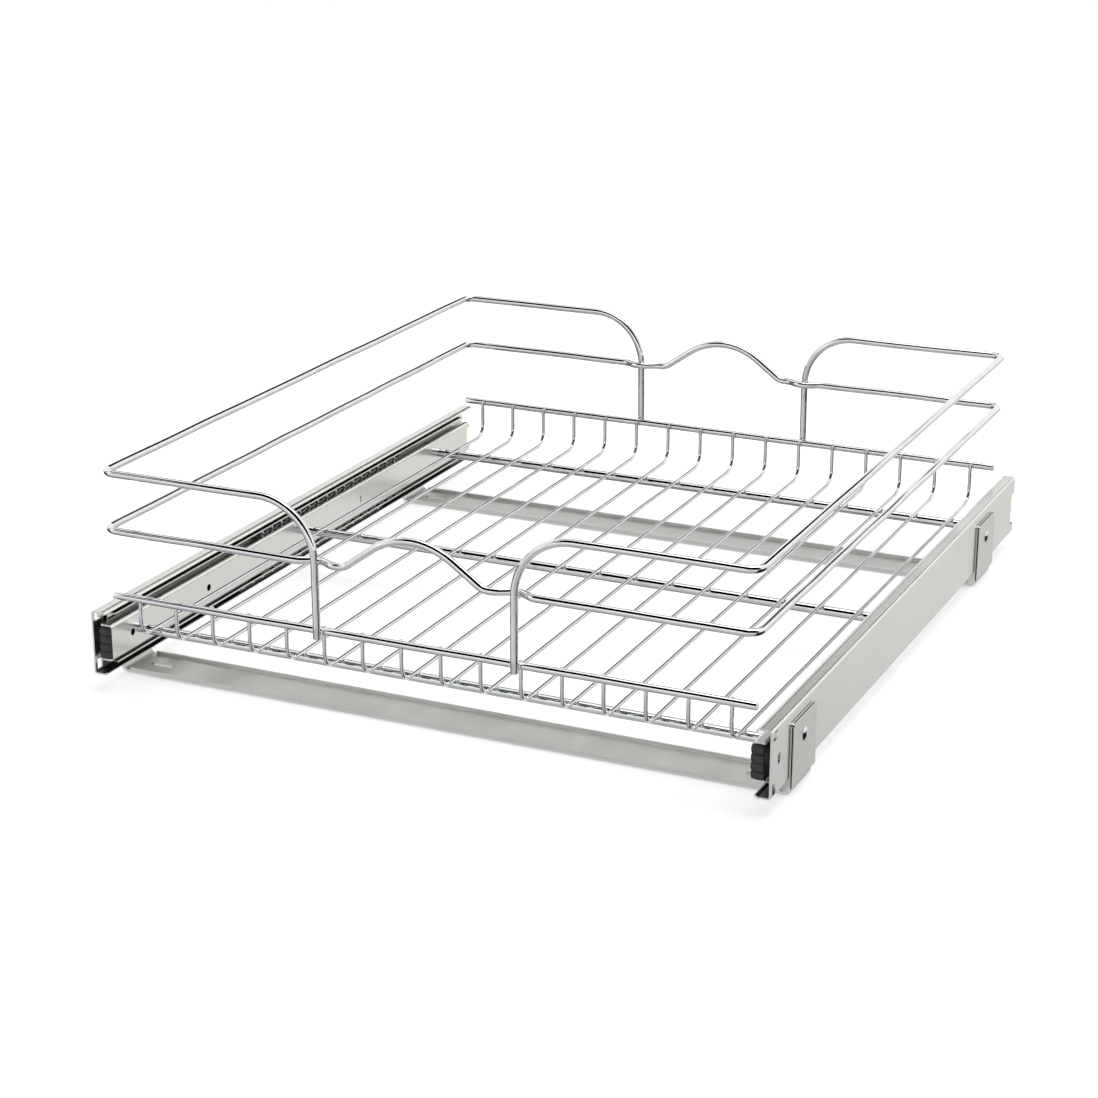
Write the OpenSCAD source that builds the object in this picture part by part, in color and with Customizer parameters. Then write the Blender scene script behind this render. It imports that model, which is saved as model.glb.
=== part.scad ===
// Pull-out basket for a base cabinet: a wire basket hung between two full-extension
// ball-bearing slides, which two pressed cross rails hold together and screw to the
// cabinet floor. Z = 0 is the mounting face under the rails, the basket pulls out
// towards -Y, and X = 0 is the middle of the width. Lengths are in millimetres.

/* [Frame] */
// Clear width between the two slides, which the basket fills
clear_w = 421.8; // [300:0.1:600]
// Length of the slides
slide_len = 508; // [430:1:700]
// Centre of the front cross rail behind the front end of the slides
front_rail_in = 47; // [35:0.5:120]
// Centre of the rear cross rail ahead of the rear end of the slides
rear_rail_in = 82; // [40:0.5:140]
// Width of a cross rail
rail_w = 32; // [26:0.5:36]
// Sheet thickness of a cross rail
rail_t = 1.8; // [1.2:0.1:2.5]
// Height of a cross rail over its turned-up edges
rail_h = 3.6; // [3:0.1:5]
// Gap between the edges of the rails and the underside of the slides
slide_gap = 6.1; // [3:0.1:12]
// Outside radius of the bend between rail and tab
rail_bend_r = 5.5; // [3.5:0.1:7]
// Width of the upright tab at each end of a rail
tab_w = 39; // [37:0.5:46]
// Height of a tab above its rivet
tab_over = 13; // [9:0.5:16]

/* [Mounting holes] */
// Length of a mounting slot along the rail
slot_len = 16.7; // [10:0.1:20]
// Width of a mounting slot
slot_w = 4.5; // [3.5:0.1:6]
// Centre of a slot from the outer face of the nearest tab
slot_in = 21; // [19:0.5:40]
// Diameter of the pilot hole beside one slot
pilot_d = 2.2; // [1.5:0.1:3]
// Centre of the pilot hole from the centre of that slot
pilot_in = 11.3; // [11.3:0.1:25]

/* [Rivets] */
// Diameter of a rivet's domed head
rivet_head_d = 9; // [7:0.5:12]
// Height of the domed head
rivet_head_h = 1.6; // [1:0.1:2]
// Diameter of a rivet's shank
rivet_d = 4.8; // [4:0.1:6]

/* [Slides] */
// Height of the outer member
slide_h = 42.3; // [42.3:0.1:56]
// Sheet thickness of the three slide members
slide_t = 1.2; // [1:0.05:1.3]
// Diameter of the balls
ball_d = 3.2; // [3:0.05:3.3]
// Play between a ball and the races on either side of it
ball_gap = 0.1; // [0.08:0.01:0.15]
// Spacing of the balls along a retainer
ball_pitch = 12.7; // [8:0.1:13]
// Balls in one row
ball_count = 16; // [6:1:17]
// Sheet thickness of the ball retainers
cage_t = 0.6; // [0.4:0.05:0.7]
// Front end of the inner member behind the front end of the slides
inner_in = 2.7; // [2.5:0.1:6]
// Front end of the intermediate member behind the front end of the slides
middle_in = 12.2; // [12:0.1:24]

/* [Basket] */
// Depth of the basket between its front and rear uprights
basket_len = 494.7; // [400:0.1:498]
// Front uprights behind the front end of the slides
basket_in = 3.7; // [3.5:0.1:10]
// Height of the basket's end rods over the slides
end_rod_over = 6.7; // [2:0.1:20]
// Height of the lower hoop over the end rods
hoop_rise = 44.3; // [30:0.1:80]
// Height of the upper rails over the lower hoop
upper_rise = 36.8; // [30:0.1:60]
// Overhang of the hoop and upper rails past the clear width, each side
hoop_over = 0.7; // [0:0.1:4]
// Distance of the uprights from the middle
post_x = 64.9; // [55:0.1:90]
// Height of the handle bends over the lower hoop
handle_rise = 22.3; // [14:0.1:28]
// Front cross rod behind the front uprights
front_rod_in = 30; // [22:0.5:60]
// Middle cross rod behind the front uprights
middle_rod_in = 240; // [180:0.5:300]
// Rear cross rod ahead of the rear uprights
rear_rod_in = 51; // [22:0.5:80]

/* [Wires] */
// Diameter of the heavy wire: hoop, upper rails, uprights and end rods
frame_wire_d = 4.8; // [4:0.1:6]
// Diameter of the cross rods
cross_rod_d = 6.35; // [5:0.05:8]
// Diameter of the floor wires
floor_wire_d = 2.5; // [2:0.1:3.5]
// Number of floor wires
floor_wire_count = 16; // [8:1:20]
// Distance of the first and last floor wires from the slides
floor_wire_edge = 15.9; // [8:0.1:30]
// Bend radius of the floor wires
floor_bend_r = 10; // [5:0.5:14]
// Bend radius of the corners of the hoop and upper rails
corner_r = 8; // [6:0.5:16]
// Bend radius from an upright into its upper rail
shoulder_r = 37; // [20:0.5:45]

/* [Hidden] */
$fn = 48;

// Colours
zinc = [0.79, 0.79, 0.77];
galvanised = [0.68, 0.70, 0.66];
chrome = [0.86, 0.87, 0.88];
black_plastic = [0.22, 0.22, 0.22];
steel = [0.62, 0.63, 0.64];

LEFT = -1;
RIGHT = 1;

// Clearance between two welded wires, and radial clearance of rivets and screws
weld_gap = 0.05;
fit_gap = 0.05;

// Thinning of a wire in a bend, off its radius, and lap of the straights over its ends
bend_thinning = 0.012;
bend_lap = 0.2;

// Slide section, measured inwards (u) from its outer face and up or down (z) from
// its middle. Members nest with a layer of balls between them, above and below.
slide_x = clear_w / 2 + slide_w();
slide_z = rail_h + slide_gap + slide_h / 2;
front_y = -slide_len / 2;
ball_r = ball_d / 2;
race_r = ball_r + ball_gap;
cage_gap = 0.4;
nest_lap = 0.1;
cage_u = slide_t + cage_gap + cage_t / 2;
middle_u = slide_t + 2 * cage_gap + cage_t + slide_t / 2 - nest_lap;
inner_cage_u = middle_u + slide_t / 2 + cage_gap + cage_t / 2;
outer_ball_u = 7.2;
inner_ball_u = 7.5;
outer_ball_z = slide_h / 2 - slide_t - race_r;
middle_z = outer_ball_z - race_r - slide_t / 2;
inner_ball_z = middle_z - slide_t / 2 - race_r;
inner_z = inner_ball_z - race_r - slide_t / 2;
inner_flange_u = 5;
inner_u = slide_w() - slide_t / 2;
inner_bend_r = 1.6;
middle_flange_u = slide_w() - 3.2;
middle_bend_r = 1.3;
middle_rear_in = 17;

// Outer member: flat strip of the flange beside the ball race, and the race's end
flange_drop = 0.15;
lip_angle = 20;
web_bend_r = 1.2;

// Windows and holes at the ends of the members
window_front_in = 2.2;
upper_window_len = 6.1;
upper_window = [13.5, 19];
lower_window_len = 5.1;
lower_window = [-19, -12.3];
tongue = [2.6, 3.5];
end_hole = [6.4, 4.4];
end_hole_in = 12.2;
rear_notch = [-13.5, 8.7];
rear_notch_in = 6.5;
web_hole_d = 4.6;
web_hole_in = [25.5, 114.5];
web_mark_in = 321;
web_mark = [1.2, 5];
inner_len = basket_in + basket_len - inner_in;
inner_corner_r = 4;
inner_end_len = 20;
inner_notch_in = 5;
inner_notch_h = 14;
inner_notch_r = 2;

// Places of the two ball layers along the slide, as the basket stands closed
inner_cage_front = front_y + 185;
outer_cage_front = front_y + 158;
cage_end = 6;
cage_bend_r = 0.8;
outer_cage_lip_u = outer_ball_u + 1.3;
inner_cage_lip_u = inner_ball_u + 2.9;
inner_cage_notch = [5, 1.4];
pocket_gap = 0.12;
cage_len = (ball_count - 1) * ball_pitch + 2 * cage_end;

// Cross rails and their tabs
rail_out_x = slide_x + rail_t;
rail_ys = [front_y + front_rail_in, -front_y - rear_rail_in];
edge_r = 1.6;
flange_end_in = rail_bend_r + 1.5;
tab_step_z = rail_h + 1.8;
bend_lap_z = 1;
tab_corner_r = 3;
slot_x = rail_out_x - slot_in;
rivet_shift = (tab_w - rail_w) / 2;

// Basket
post_y = front_y + basket_in;
rear_post_y = post_y + basket_len;
rod_step = frame_wire_d + weld_gap;
end_rod_z = slide_z + slide_h / 2 + end_rod_over + frame_wire_d / 2;
end_rod_ys = [post_y + rod_step, rear_post_y - rod_step];
end_rod_lap = 0.3;
end_rod_len = clear_w + 2 * end_rod_lap;
hoop_x = clear_w / 2 + hoop_over;
hoop_z = end_rod_z + hoop_rise;
upper_z = hoop_z + upper_rise;
post_foot = 3.5;
floor_z = slide_z + (cross_rod_d + floor_wire_d) / 2 + weld_gap;
floor_wire_ys = [end_rod_ys[0] + (frame_wire_d + floor_wire_d) / 2 + weld_gap,
                 end_rod_ys[1] - (frame_wire_d + floor_wire_d) / 2 - weld_gap];
floor_wire_over = 1.5;
floor_wire_pitch = (clear_w - 2 * floor_wire_edge) / (floor_wire_count - 1);
cross_rod_ys = [post_y + front_rod_in, post_y + middle_rod_in, rear_post_y - rear_rod_in];

// Handle bend of the hoop: it steps past each upright, then rises to a round crown
jog_angle = 30;
jog_r = 12;
jog_corner = rod_step + jog_r * (1 / cos(jog_angle) - 1);
jog_run = jog_corner / tan(jog_angle);
jog_half = jog_run + jog_r * tan(jog_angle / 2);
foot_r = 12;
crown_r = 45;
foot_turn = 36;
foot_gap = 0.8;
foot_x = post_x - jog_half - foot_r * tan(foot_turn / 2) - foot_gap;
handle_angle = atan2(foot_x, crown_r - handle_rise)
             - acos(crown_r / norm([foot_x, crown_r - handle_rise]));
crown_corner = foot_x * tan(handle_angle);

// Buffers and screws
buffer_u = [inner_flange_u - 0.1, slide_w() + 0.2];
buffer_half_h = inner_z - slide_t / 2 - 0.25;
buffer_gap = 0.2;
plug_gap = 0.3;
plug_lap = 0.5;
plug_len = 17;
buffer_groove = [1, 0.9];
screw_d = 3.5;
screw_len = 12;
screw_head = [7, 2];
screw_recess = [3, 0.8, 1];

function slide_w() = 12.7;
function floor_wire_name(i) = str("floor_wire_", i < 9 ? "0" : "", i + 1);

// ---- Bent sheet: an outline of even thickness along a path with rounded corners ----

function unit(v) = v / norm(v);
function left_of(v) = [-v[1], v[0]];
function turned(v, a) = [v[0] * cos(a) - v[1] * sin(a), v[0] * sin(a) + v[1] * cos(a)];
function turn_between(u, v) = atan2(u[0] * v[1] - u[1] * v[0], u * v);

// Points [place, normal] round the corner between directions u and v at point p
function corner_points(p, u, v, r, steps = 4) =
    let (a = turn_between(u, v), s = sign(a),
         c = p - u * r * tan(abs(a) / 2) + left_of(u) * s * r)
    [for (k = [0:steps]) let (n = turned(left_of(u), a * k / steps)) [c - n * s * r, n]];

// Points [place, normal] along the whole path, whose corners have radius r
function path_points(path, r) = let (last = len(path) - 1) concat(
    [[path[0], left_of(unit(path[1] - path[0]))]],
    [for (i = [1:last - 1]) each corner_points(
        path[i], unit(path[i] - path[i - 1]), unit(path[i + 1] - path[i]), r)],
    [[path[last], left_of(unit(path[last] - path[last - 1]))]]);

function sheet_outline(points, t) = concat(
    [for (q = points) q[0] + q[1] * t / 2],
    [for (i = [len(points) - 1:-1:0]) points[i][0] - points[i][1] * t / 2]);

module bent_sheet(path, t, r) polygon(sheet_outline(path_points(path, r), t));

// A path that comes down one flange and goes up the mirrored one
function both_flanges(half) =
    concat(half, [for (i = [len(half) - 1:-1:0]) [half[i][0], -half[i][1]]]);

// ---- Bent wire: straight lengths joined by round bends ----

// Length that the bend at point i takes from the straight on either side of it
function bend_cut(pts, rs, i) = i == 0 || i == len(pts) - 1 ? 0 :
    rs[i] * tan(acos(unit(pts[i] - pts[i - 1]) * unit(pts[i + 1] - pts[i])) / 2);

// One straight along +Z from the origin, then the bend at its end and all that
// follows, each drawn in the frame where the last one ended. The wire bends next
// towards the inside of the corner; side is where +X points in the model. Drawing a
// bend thins it a little, so the straights lap over its ends.
module wire_from(pts, d, rs, i, side) {
    u = unit(pts[i + 1] - pts[i]);
    h = norm(pts[i + 1] - pts[i]) - bend_cut(pts, rs, i) - bend_cut(pts, rs, i + 1);
    lap_in = i == 0 ? 0 : bend_lap;
    lap_out = i + 2 == len(pts) ? 0 : bend_lap;
    translate([0, 0, -lap_in])
        cylinder(d = d, h = h + lap_in + lap_out);
    if (i + 2 < len(pts)) {
        v = unit(pts[i + 2] - pts[i + 1]);
        angle = acos(u * v);
        inside = unit(v - u * (u * v));
        r = rs[i + 1];
        translate([0, 0, h])
            rotate([0, 0, atan2(cross(side, inside) * u, side * inside)]) {
                translate([r, 0, 0])
                    rotate([90, 0, 180])
                        rotate_extrude(angle = angle)
                            translate([r, 0])
                                circle(r = d / 2 - bend_thinning);
                translate([r, 0, 0])
                    rotate([0, angle, 0])
                        translate([-r, 0, 0])
                            wire_from(pts, d, rs, i + 1, inside * cos(angle) - u * sin(angle));
            }
    }
}

// Wire through the points, bent at each inner point with the radius listed for it
module bent_wire(pts, d, rs) {
    u = unit(pts[1] - pts[0]);
    tilt = acos(u[2]);
    heading = atan2(u[1], u[0]);
    translate(pts[0])
        rotate([0, tilt, heading])
            wire_from(pts, d, rs, 0,
                      [cos(tilt) * cos(heading), cos(tilt) * sin(heading), -sin(tilt)]);
}

// ---- Helpers for place and shape ----

// Children drawn for the left slide, u to the right from its outer face, z from its
// middle, and mirrored for the right slide
module on_slide(side) {
    mirror([side == RIGHT ? 1 : 0, 0, 0])
        translate([-slide_x, 0, slide_z])
            children();
}

// A (u, z) section drawn as a length along Y
module along_slide(y0, length) {
    translate([0, y0 + length, 0])
        rotate([90, 0, 0])
            linear_extrude(length)
                children();
}

// A (y, z) outline pushed through the sheet from u0 to u1
module through_web(u0, u1) {
    translate([u0, 0, 0])
        rotate([90, 0, 90])
            linear_extrude(u1 - u0)
                children();
}

module rounded_plate(size, r) {
    translate([r, 0]) square([size[0] - 2 * r, size[1]]);
    translate([0, r]) square([size[0], size[1] - 2 * r]);
    for (x = [r, size[0] - r], y = [r, size[1] - r])
        translate([x, y]) circle(r = r);
}

module slot_outline(length, width) {
    square([length - width, width], center = true);
    for (s = [-1, 1])
        translate([s * (length - width) / 2, 0])
            circle(d = width);
}

// ---- Cross rails ----

module rail_section() {
    x = rail_w / 2 - rail_t / 2;
    bent_sheet([[-x, rail_h], [-x, rail_t / 2], [x, rail_t / 2], [x, rail_h]], rail_t, edge_r);
}

module rail_strip_profile() {
    x = rail_out_x - rail_t / 2;
    top = tab_step_z + bend_lap_z;
    bent_sheet([[-x, top], [-x, rail_t / 2], [x, rail_t / 2], [x, top]],
               rail_t, rail_bend_r - rail_t / 2);
}

module tab_outline() {
    h = slide_z + tab_over - tab_step_z;
    difference() {
        translate([0, -tab_corner_r])
            rounded_plate([tab_w, h + tab_corner_r], tab_corner_r);
        translate([-1, -tab_corner_r - 1])
            square([tab_w + 2, tab_corner_r + 1]);
    }
}

module rail_tab(side, y) {
    mirror([side == RIGHT ? 1 : 0, 0, 0])
        translate([-rail_out_x, y - rail_w / 2, tab_step_z])
            through_web(0, rail_t)
                tab_outline();
}

module cross_rail(y, pilot_side) {
    flange_x = rail_out_x - flange_end_in;
    difference() {
        union() {
            along_slide(y - rail_w / 2, rail_w)
                rail_strip_profile();
            translate([-flange_x, y, 0])
                rotate([90, 0, 90])
                    linear_extrude(2 * flange_x)
                        rail_section();
            rail_tab(LEFT, y);
            rail_tab(RIGHT, y);
        }
        for (s = [LEFT, RIGHT]) {
            translate([s * slot_x, y, -1])
                linear_extrude(rail_h + 2)
                    slot_outline(slot_len, slot_w);
            translate([s * (rail_out_x + 1), y + rivet_shift, slide_z])
                rotate([0, -s * 90, 0])
                    cylinder(d = rivet_d + 2 * fit_gap, h = rail_t + 2);
        }
        if (pilot_side != 0)
            translate([pilot_side * (slot_x - pilot_in), y, -1])
                cylinder(d = pilot_d, h = rail_h + 2);
    }
}

module front_cross_rail() color(galvanised) cross_rail(rail_ys[0], RIGHT);
module rear_cross_rail() color(galvanised) cross_rail(rail_ys[1], 0);

// One rivet along u: domed head outside the tab, shank through tab and member
module rivet() {
    dome_r = (rivet_head_d * rivet_head_d / 4 + rivet_head_h * rivet_head_h) / (2 * rivet_head_h);
    translate([-rail_t, 0, 0])
        rotate([0, 90, 0]) {
            intersection() {
                translate([0, 0, dome_r - rivet_head_h])
                    sphere(r = dome_r, $fn = 96);
                translate([0, 0, -rivet_head_h - 1])
                    cylinder(d = rivet_head_d, h = rivet_head_h + 1);
            }
            translate([0, 0, -rivet_head_h / 2])
                cylinder(d = rivet_d, h = rail_t + slide_t + rivet_head_h / 2);
        }
}

module bracket_rivets() {
    color(steel)
        for (side = [LEFT, RIGHT], y = rail_ys)
            on_slide(side)
                translate([0, y + rivet_shift, 0])
                    rivet();
}

// ---- Slide members ----

// Points [place, outward normal] of the upper half of the outer section: ball race
// from its lip to the flat strip, then the corner into the web
function outer_half() = let (
    r = race_r + slide_t / 2,
    z = slide_h / 2 - slide_t / 2 - flange_drop,
    join_angle = 180 - asin((z - outer_ball_z) / r),
    race_steps = 8)
    concat(
        [for (k = [0:race_steps]) let (
            a = lip_angle + (join_angle - lip_angle) * k / race_steps, n = [cos(a), sin(a)])
            [[outer_ball_u, outer_ball_z] + n * r, n]],
        [for (q = corner_points([slide_t / 2, z], [-1, 0], [0, -1], web_bend_r)) [q[0], -q[1]]]);

function upside_down(v) = [v[0], -v[1]];

module outer_section() {
    half = outer_half();
    lower = [for (i = [len(half) - 1:-1:0]) [upside_down(half[i][0]), upside_down(half[i][1])]];
    polygon(sheet_outline(concat(half, lower), slide_t));
}

// Window near the front end of the web, with the stop tongue left standing in it
module upper_window_outline() {
    h = upper_window[1] - upper_window[0];
    difference() {
        square([upper_window_len, h]);
        translate([upper_window_len - tongue[0], (h - tongue[1]) / 2])
            square([tongue[0] + 1, tongue[1]]);
    }
}

module outer_member(side) {
    color(zinc)
        on_slide(side)
            difference() {
                along_slide(front_y, slide_len)
                    outer_section();
                through_web(-1, slide_t + 1) {
                    translate([front_y + window_front_in, upper_window[0]])
                        upper_window_outline();
                    translate([front_y + window_front_in, lower_window[0]])
                        square([lower_window_len, lower_window[1] - lower_window[0]]);
                    translate([front_y + end_hole_in, 0])
                        rotate(90)
                            slot_outline(end_hole[0], end_hole[1]);
                    translate([-front_y - rear_notch_in, rear_notch[0]])
                        square([rear_notch_in + 1, rear_notch[1] - rear_notch[0]]);
                    for (y = rail_ys)
                        translate([y + rivet_shift, 0])
                            circle(d = rivet_d + 2 * fit_gap);
                }
            }
}

module intermediate_section() {
    bent_sheet(both_flanges([[middle_flange_u, middle_z], [middle_u, middle_z]]), slide_t,
               middle_bend_r);
}

module intermediate_member(side) {
    color(zinc)
        on_slide(side)
            along_slide(front_y + middle_in, slide_len - middle_in - middle_rear_in)
                intermediate_section();
}

module inner_section() {
    bent_sheet(both_flanges([[inner_flange_u, inner_z], [inner_u, inner_z]]), slide_t,
               inner_bend_r);
}

// Side outline of the inner member: round rear corners and a rear notch in the web
module inner_side_outline() {
    half = inner_z + slide_t;
    difference() {
        union() {
            translate([0, -half])
                square([inner_len - inner_corner_r - 1, 2 * half]);
            translate([inner_len - inner_end_len, -inner_z - slide_t / 2])
                rounded_plate([inner_end_len, 2 * inner_z + slide_t], inner_corner_r);
        }
        translate([inner_len - inner_notch_in, -inner_notch_h / 2])
            rounded_plate([2 * inner_notch_in, inner_notch_h], inner_notch_r);
    }
}

module inner_member(side) {
    y0 = front_y + inner_in;
    color(zinc)
        on_slide(side)
            difference() {
                intersection() {
                    along_slide(y0, inner_len)
                        inner_section();
                    translate([0, y0, 0])
                        through_web(0, slide_w() + 1)
                            inner_side_outline();
                }
                through_web(slide_w() - slide_t - 1, slide_w() + 1) {
                    for (y = web_hole_in)
                        translate([front_y + y, 0])
                            circle(d = web_hole_d);
                    for (y = cross_rod_ys)
                        translate([y, 0])
                            circle(d = screw_d + 2 * fit_gap);
                    translate([front_y + web_mark_in, 0])
                        square(web_mark, center = true);
                }
            }
}

// ---- Ball layers ----

// Strip bent round the member inside it, with a pocket for each ball and, where a notch
// [length, depth] is given, with the lips cut back between the balls
module ball_retainer(side, y0, web_u, ball_u, ball_z, lip_u, notch = [0, 0]) {
    color(steel)
        on_slide(side)
            difference() {
                along_slide(y0, cage_len)
                    bent_sheet(both_flanges([[lip_u, ball_z], [web_u, ball_z]]), cage_t, cage_bend_r);
                for (i = [0:ball_count - 1])
                    translate([ball_u, y0 + cage_end + i * ball_pitch, -ball_z - 1])
                        cylinder(r = ball_r + pocket_gap, h = 2 * ball_z + 2, $fn = 24);
                if (notch[0] > 0)
                    for (i = [1:ball_count - 1])
                        translate([lip_u - notch[1],
                                   y0 + cage_end + (i - 0.5) * ball_pitch - notch[0] / 2,
                                   -ball_z - 1])
                            cube([notch[1] + 1, notch[0], 2 * ball_z + 2]);
            }
}

module ball_rows(side, y0, ball_u, ball_z) {
    color(chrome)
        on_slide(side)
            for (i = [0:ball_count - 1], s = [-1, 1])
                translate([ball_u, y0 + cage_end + i * ball_pitch, s * ball_z])
                    sphere(d = ball_d, $fn = 24);
}

module outer_ball_retainer(side)
    ball_retainer(side, outer_cage_front, cage_u, outer_ball_u, outer_ball_z, outer_cage_lip_u);
module inner_ball_retainer(side)
    ball_retainer(side, inner_cage_front, inner_cage_u, inner_ball_u, inner_ball_z,
                  inner_cage_lip_u, inner_cage_notch);
module outer_balls(side) ball_rows(side, outer_cage_front, outer_ball_u, outer_ball_z);
module inner_balls(side) ball_rows(side, inner_cage_front, inner_ball_u, inner_ball_z);

// ---- Buffers and screws ----

module front_buffer(side) {
    lip = inner_in - buffer_gap;
    plug_u0 = inner_flange_u + plug_gap;
    plug_u1 = inner_u - slide_t / 2 - buffer_gap;
    plug_half_h = buffer_half_h - plug_gap;
    color(black_plastic)
        on_slide(side) {
            difference() {
                translate([buffer_u[0], front_y, -buffer_half_h])
                    cube([buffer_u[1] - buffer_u[0], lip, 2 * buffer_half_h]);
                for (k = [-1, 0, 1])
                    translate([buffer_u[0] - 1, front_y - 1,
                               k * buffer_half_h / 2 - buffer_groove[0] / 2])
                        cube([buffer_u[1] - buffer_u[0] + 2, buffer_groove[1] + 1,
                              buffer_groove[0]]);
            }
            translate([plug_u0, front_y + lip - plug_lap, -plug_half_h])
                cube([plug_u1 - plug_u0, plug_len, 2 * plug_half_h]);
        }
}

// One screw along u into the end of a cross rod, its recess open towards the web
module rod_screw() {
    head_u = inner_u - slide_t / 2 - screw_head[1];
    translate([head_u, 0, 0])
        rotate([0, 90, 0])
            difference() {
                union() {
                    cylinder(d = screw_head[0], h = screw_head[1]);
                    cylinder(d = screw_d, h = screw_head[1] + slide_t + screw_len);
                }
                for (a = [0, 90])
                    rotate([0, 0, a])
                        translate([-screw_recess[0] / 2, -screw_recess[1] / 2, -1])
                            cube([screw_recess[0], screw_recess[1], screw_recess[2] + 1]);
            }
}

module rod_screws() {
    color(steel)
        for (side = [LEFT, RIGHT], y = cross_rod_ys)
            on_slide(side)
                translate([0, y, 0])
                    rod_screw();
}

// ---- Basket wires ----

module cross_rod(y) {
    color(chrome)
        translate([-clear_w / 2, y, slide_z])
            rotate([0, 90, 0])
                difference() {
                    cylinder(d = cross_rod_d, h = clear_w);
                    for (z = [-1, clear_w - screw_len - 1])
                        translate([0, 0, z])
                            cylinder(d = screw_d + 2 * fit_gap, h = screw_len + 2);
                }
}

module end_rod(y) {
    color(chrome)
        translate([-end_rod_len / 2, y, end_rod_z])
            rotate([0, 90, 0])
                cylinder(d = frame_wire_d, h = end_rod_len);
}

module floor_wire(i) {
    x = -clear_w / 2 + floor_wire_edge + i * floor_wire_pitch;
    top = end_rod_z + floor_wire_over;
    color(chrome)
        bent_wire([[x, floor_wire_ys[0], top], [x, floor_wire_ys[0], floor_z],
                   [x, floor_wire_ys[1], floor_z], [x, floor_wire_ys[1], top]],
                  floor_wire_d, [0, floor_bend_r, floor_bend_r, 0]);
}

module upper_rail(side) {
    foot = end_rod_z - post_foot;
    color(chrome)
        bent_wire([[side * post_x, post_y, foot], [side * post_x, post_y, upper_z],
                   [side * hoop_x, post_y, upper_z], [side * hoop_x, rear_post_y, upper_z],
                   [side * post_x, rear_post_y, upper_z], [side * post_x, rear_post_y, foot]],
                  frame_wire_d, [0, shoulder_r, corner_r, corner_r, shoulder_r, 0]);
}

// Half of the hoop, from the middle of its left side round the front to the middle of
// its right side; it steps in past each upright, and the crown is the handle
module hoop_half() {
    y = post_y;
    mid_y = (post_y + rear_post_y) / 2 + weld_gap;
    pts = [[-hoop_x, mid_y, hoop_z],
           [-hoop_x, y, hoop_z],
           [-post_x - jog_run, y, hoop_z],
           [-post_x, y + jog_corner, hoop_z],
           [-post_x + jog_run, y, hoop_z],
           [-foot_x, y, hoop_z],
           [0, y, hoop_z + crown_corner],
           [foot_x, y, hoop_z],
           [post_x - jog_run, y, hoop_z],
           [post_x, y + jog_corner, hoop_z],
           [post_x + jog_run, y, hoop_z],
           [hoop_x, y, hoop_z],
           [hoop_x, mid_y, hoop_z]];
    bent_wire(pts, frame_wire_d,
              [0, corner_r, jog_r, jog_r, jog_r, foot_r, crown_r, foot_r, jog_r, jog_r, jog_r,
               corner_r, 0]);
}

module lower_hoop() {
    color(chrome) {
        hoop_half();
        translate([0, post_y + rear_post_y, 0])
            mirror([0, 1, 0])
                hoop_half();
    }
}

front_cross_rail();
rear_cross_rail();
outer_member(LEFT);  // left_outer_member
outer_member(RIGHT);  // right_outer_member
bracket_rivets();
intermediate_member(LEFT);  // left_intermediate_member
intermediate_member(RIGHT);  // right_intermediate_member
outer_ball_retainer(LEFT);  // left_outer_ball_retainer
outer_ball_retainer(RIGHT);  // right_outer_ball_retainer
outer_balls(LEFT);  // left_outer_balls
outer_balls(RIGHT);  // right_outer_balls
inner_ball_retainer(LEFT);  // left_inner_ball_retainer
inner_ball_retainer(RIGHT);  // right_inner_ball_retainer
inner_balls(LEFT);  // left_inner_balls
inner_balls(RIGHT);  // right_inner_balls
inner_member(LEFT);  // left_inner_member
inner_member(RIGHT);  // right_inner_member
front_buffer(LEFT);  // left_front_buffer
front_buffer(RIGHT);  // right_front_buffer
rod_screws();
cross_rod(cross_rod_ys[0]);  // front_cross_rod
cross_rod(cross_rod_ys[1]);  // middle_cross_rod
cross_rod(cross_rod_ys[2]);  // rear_cross_rod
end_rod(end_rod_ys[0]);  // front_end_rod
end_rod(end_rod_ys[1]);  // rear_end_rod
upper_rail(LEFT);  // left_upper_rail
upper_rail(RIGHT);  // right_upper_rail
lower_hoop();
for (i = [0:floor_wire_count - 1])
    floor_wire(i);
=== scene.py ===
"""Looks of a pull-out basket for a base cabinet: chromed wires, zinc-plated ball-bearing
slides, galvanised cross rails and black plastic buffers. Lengths are in metres."""
import math

import bmesh
import bpy
import numpy as np
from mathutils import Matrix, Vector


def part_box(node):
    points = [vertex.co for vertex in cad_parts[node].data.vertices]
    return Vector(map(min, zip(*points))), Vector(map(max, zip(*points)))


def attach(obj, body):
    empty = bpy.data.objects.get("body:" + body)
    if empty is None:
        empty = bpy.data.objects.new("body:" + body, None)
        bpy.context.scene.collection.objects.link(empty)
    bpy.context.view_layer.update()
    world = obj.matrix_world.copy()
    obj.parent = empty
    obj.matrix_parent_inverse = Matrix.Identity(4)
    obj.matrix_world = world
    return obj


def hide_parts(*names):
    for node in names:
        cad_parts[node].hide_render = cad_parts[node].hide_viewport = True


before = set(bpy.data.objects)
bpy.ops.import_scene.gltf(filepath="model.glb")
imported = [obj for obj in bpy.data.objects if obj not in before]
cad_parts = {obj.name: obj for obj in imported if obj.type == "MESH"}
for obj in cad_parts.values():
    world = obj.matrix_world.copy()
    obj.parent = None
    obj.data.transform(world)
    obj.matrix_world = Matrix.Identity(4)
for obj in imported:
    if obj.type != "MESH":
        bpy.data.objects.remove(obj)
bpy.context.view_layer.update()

MM = 0.001
SIDES = ("left", "right")

# ---------------------------------------------------------------- sizes, from the frame


def corners(node):
    """Lowest and highest corner of a CAD node as arrays."""
    low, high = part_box(node)
    return np.array(low), np.array(high)


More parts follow.
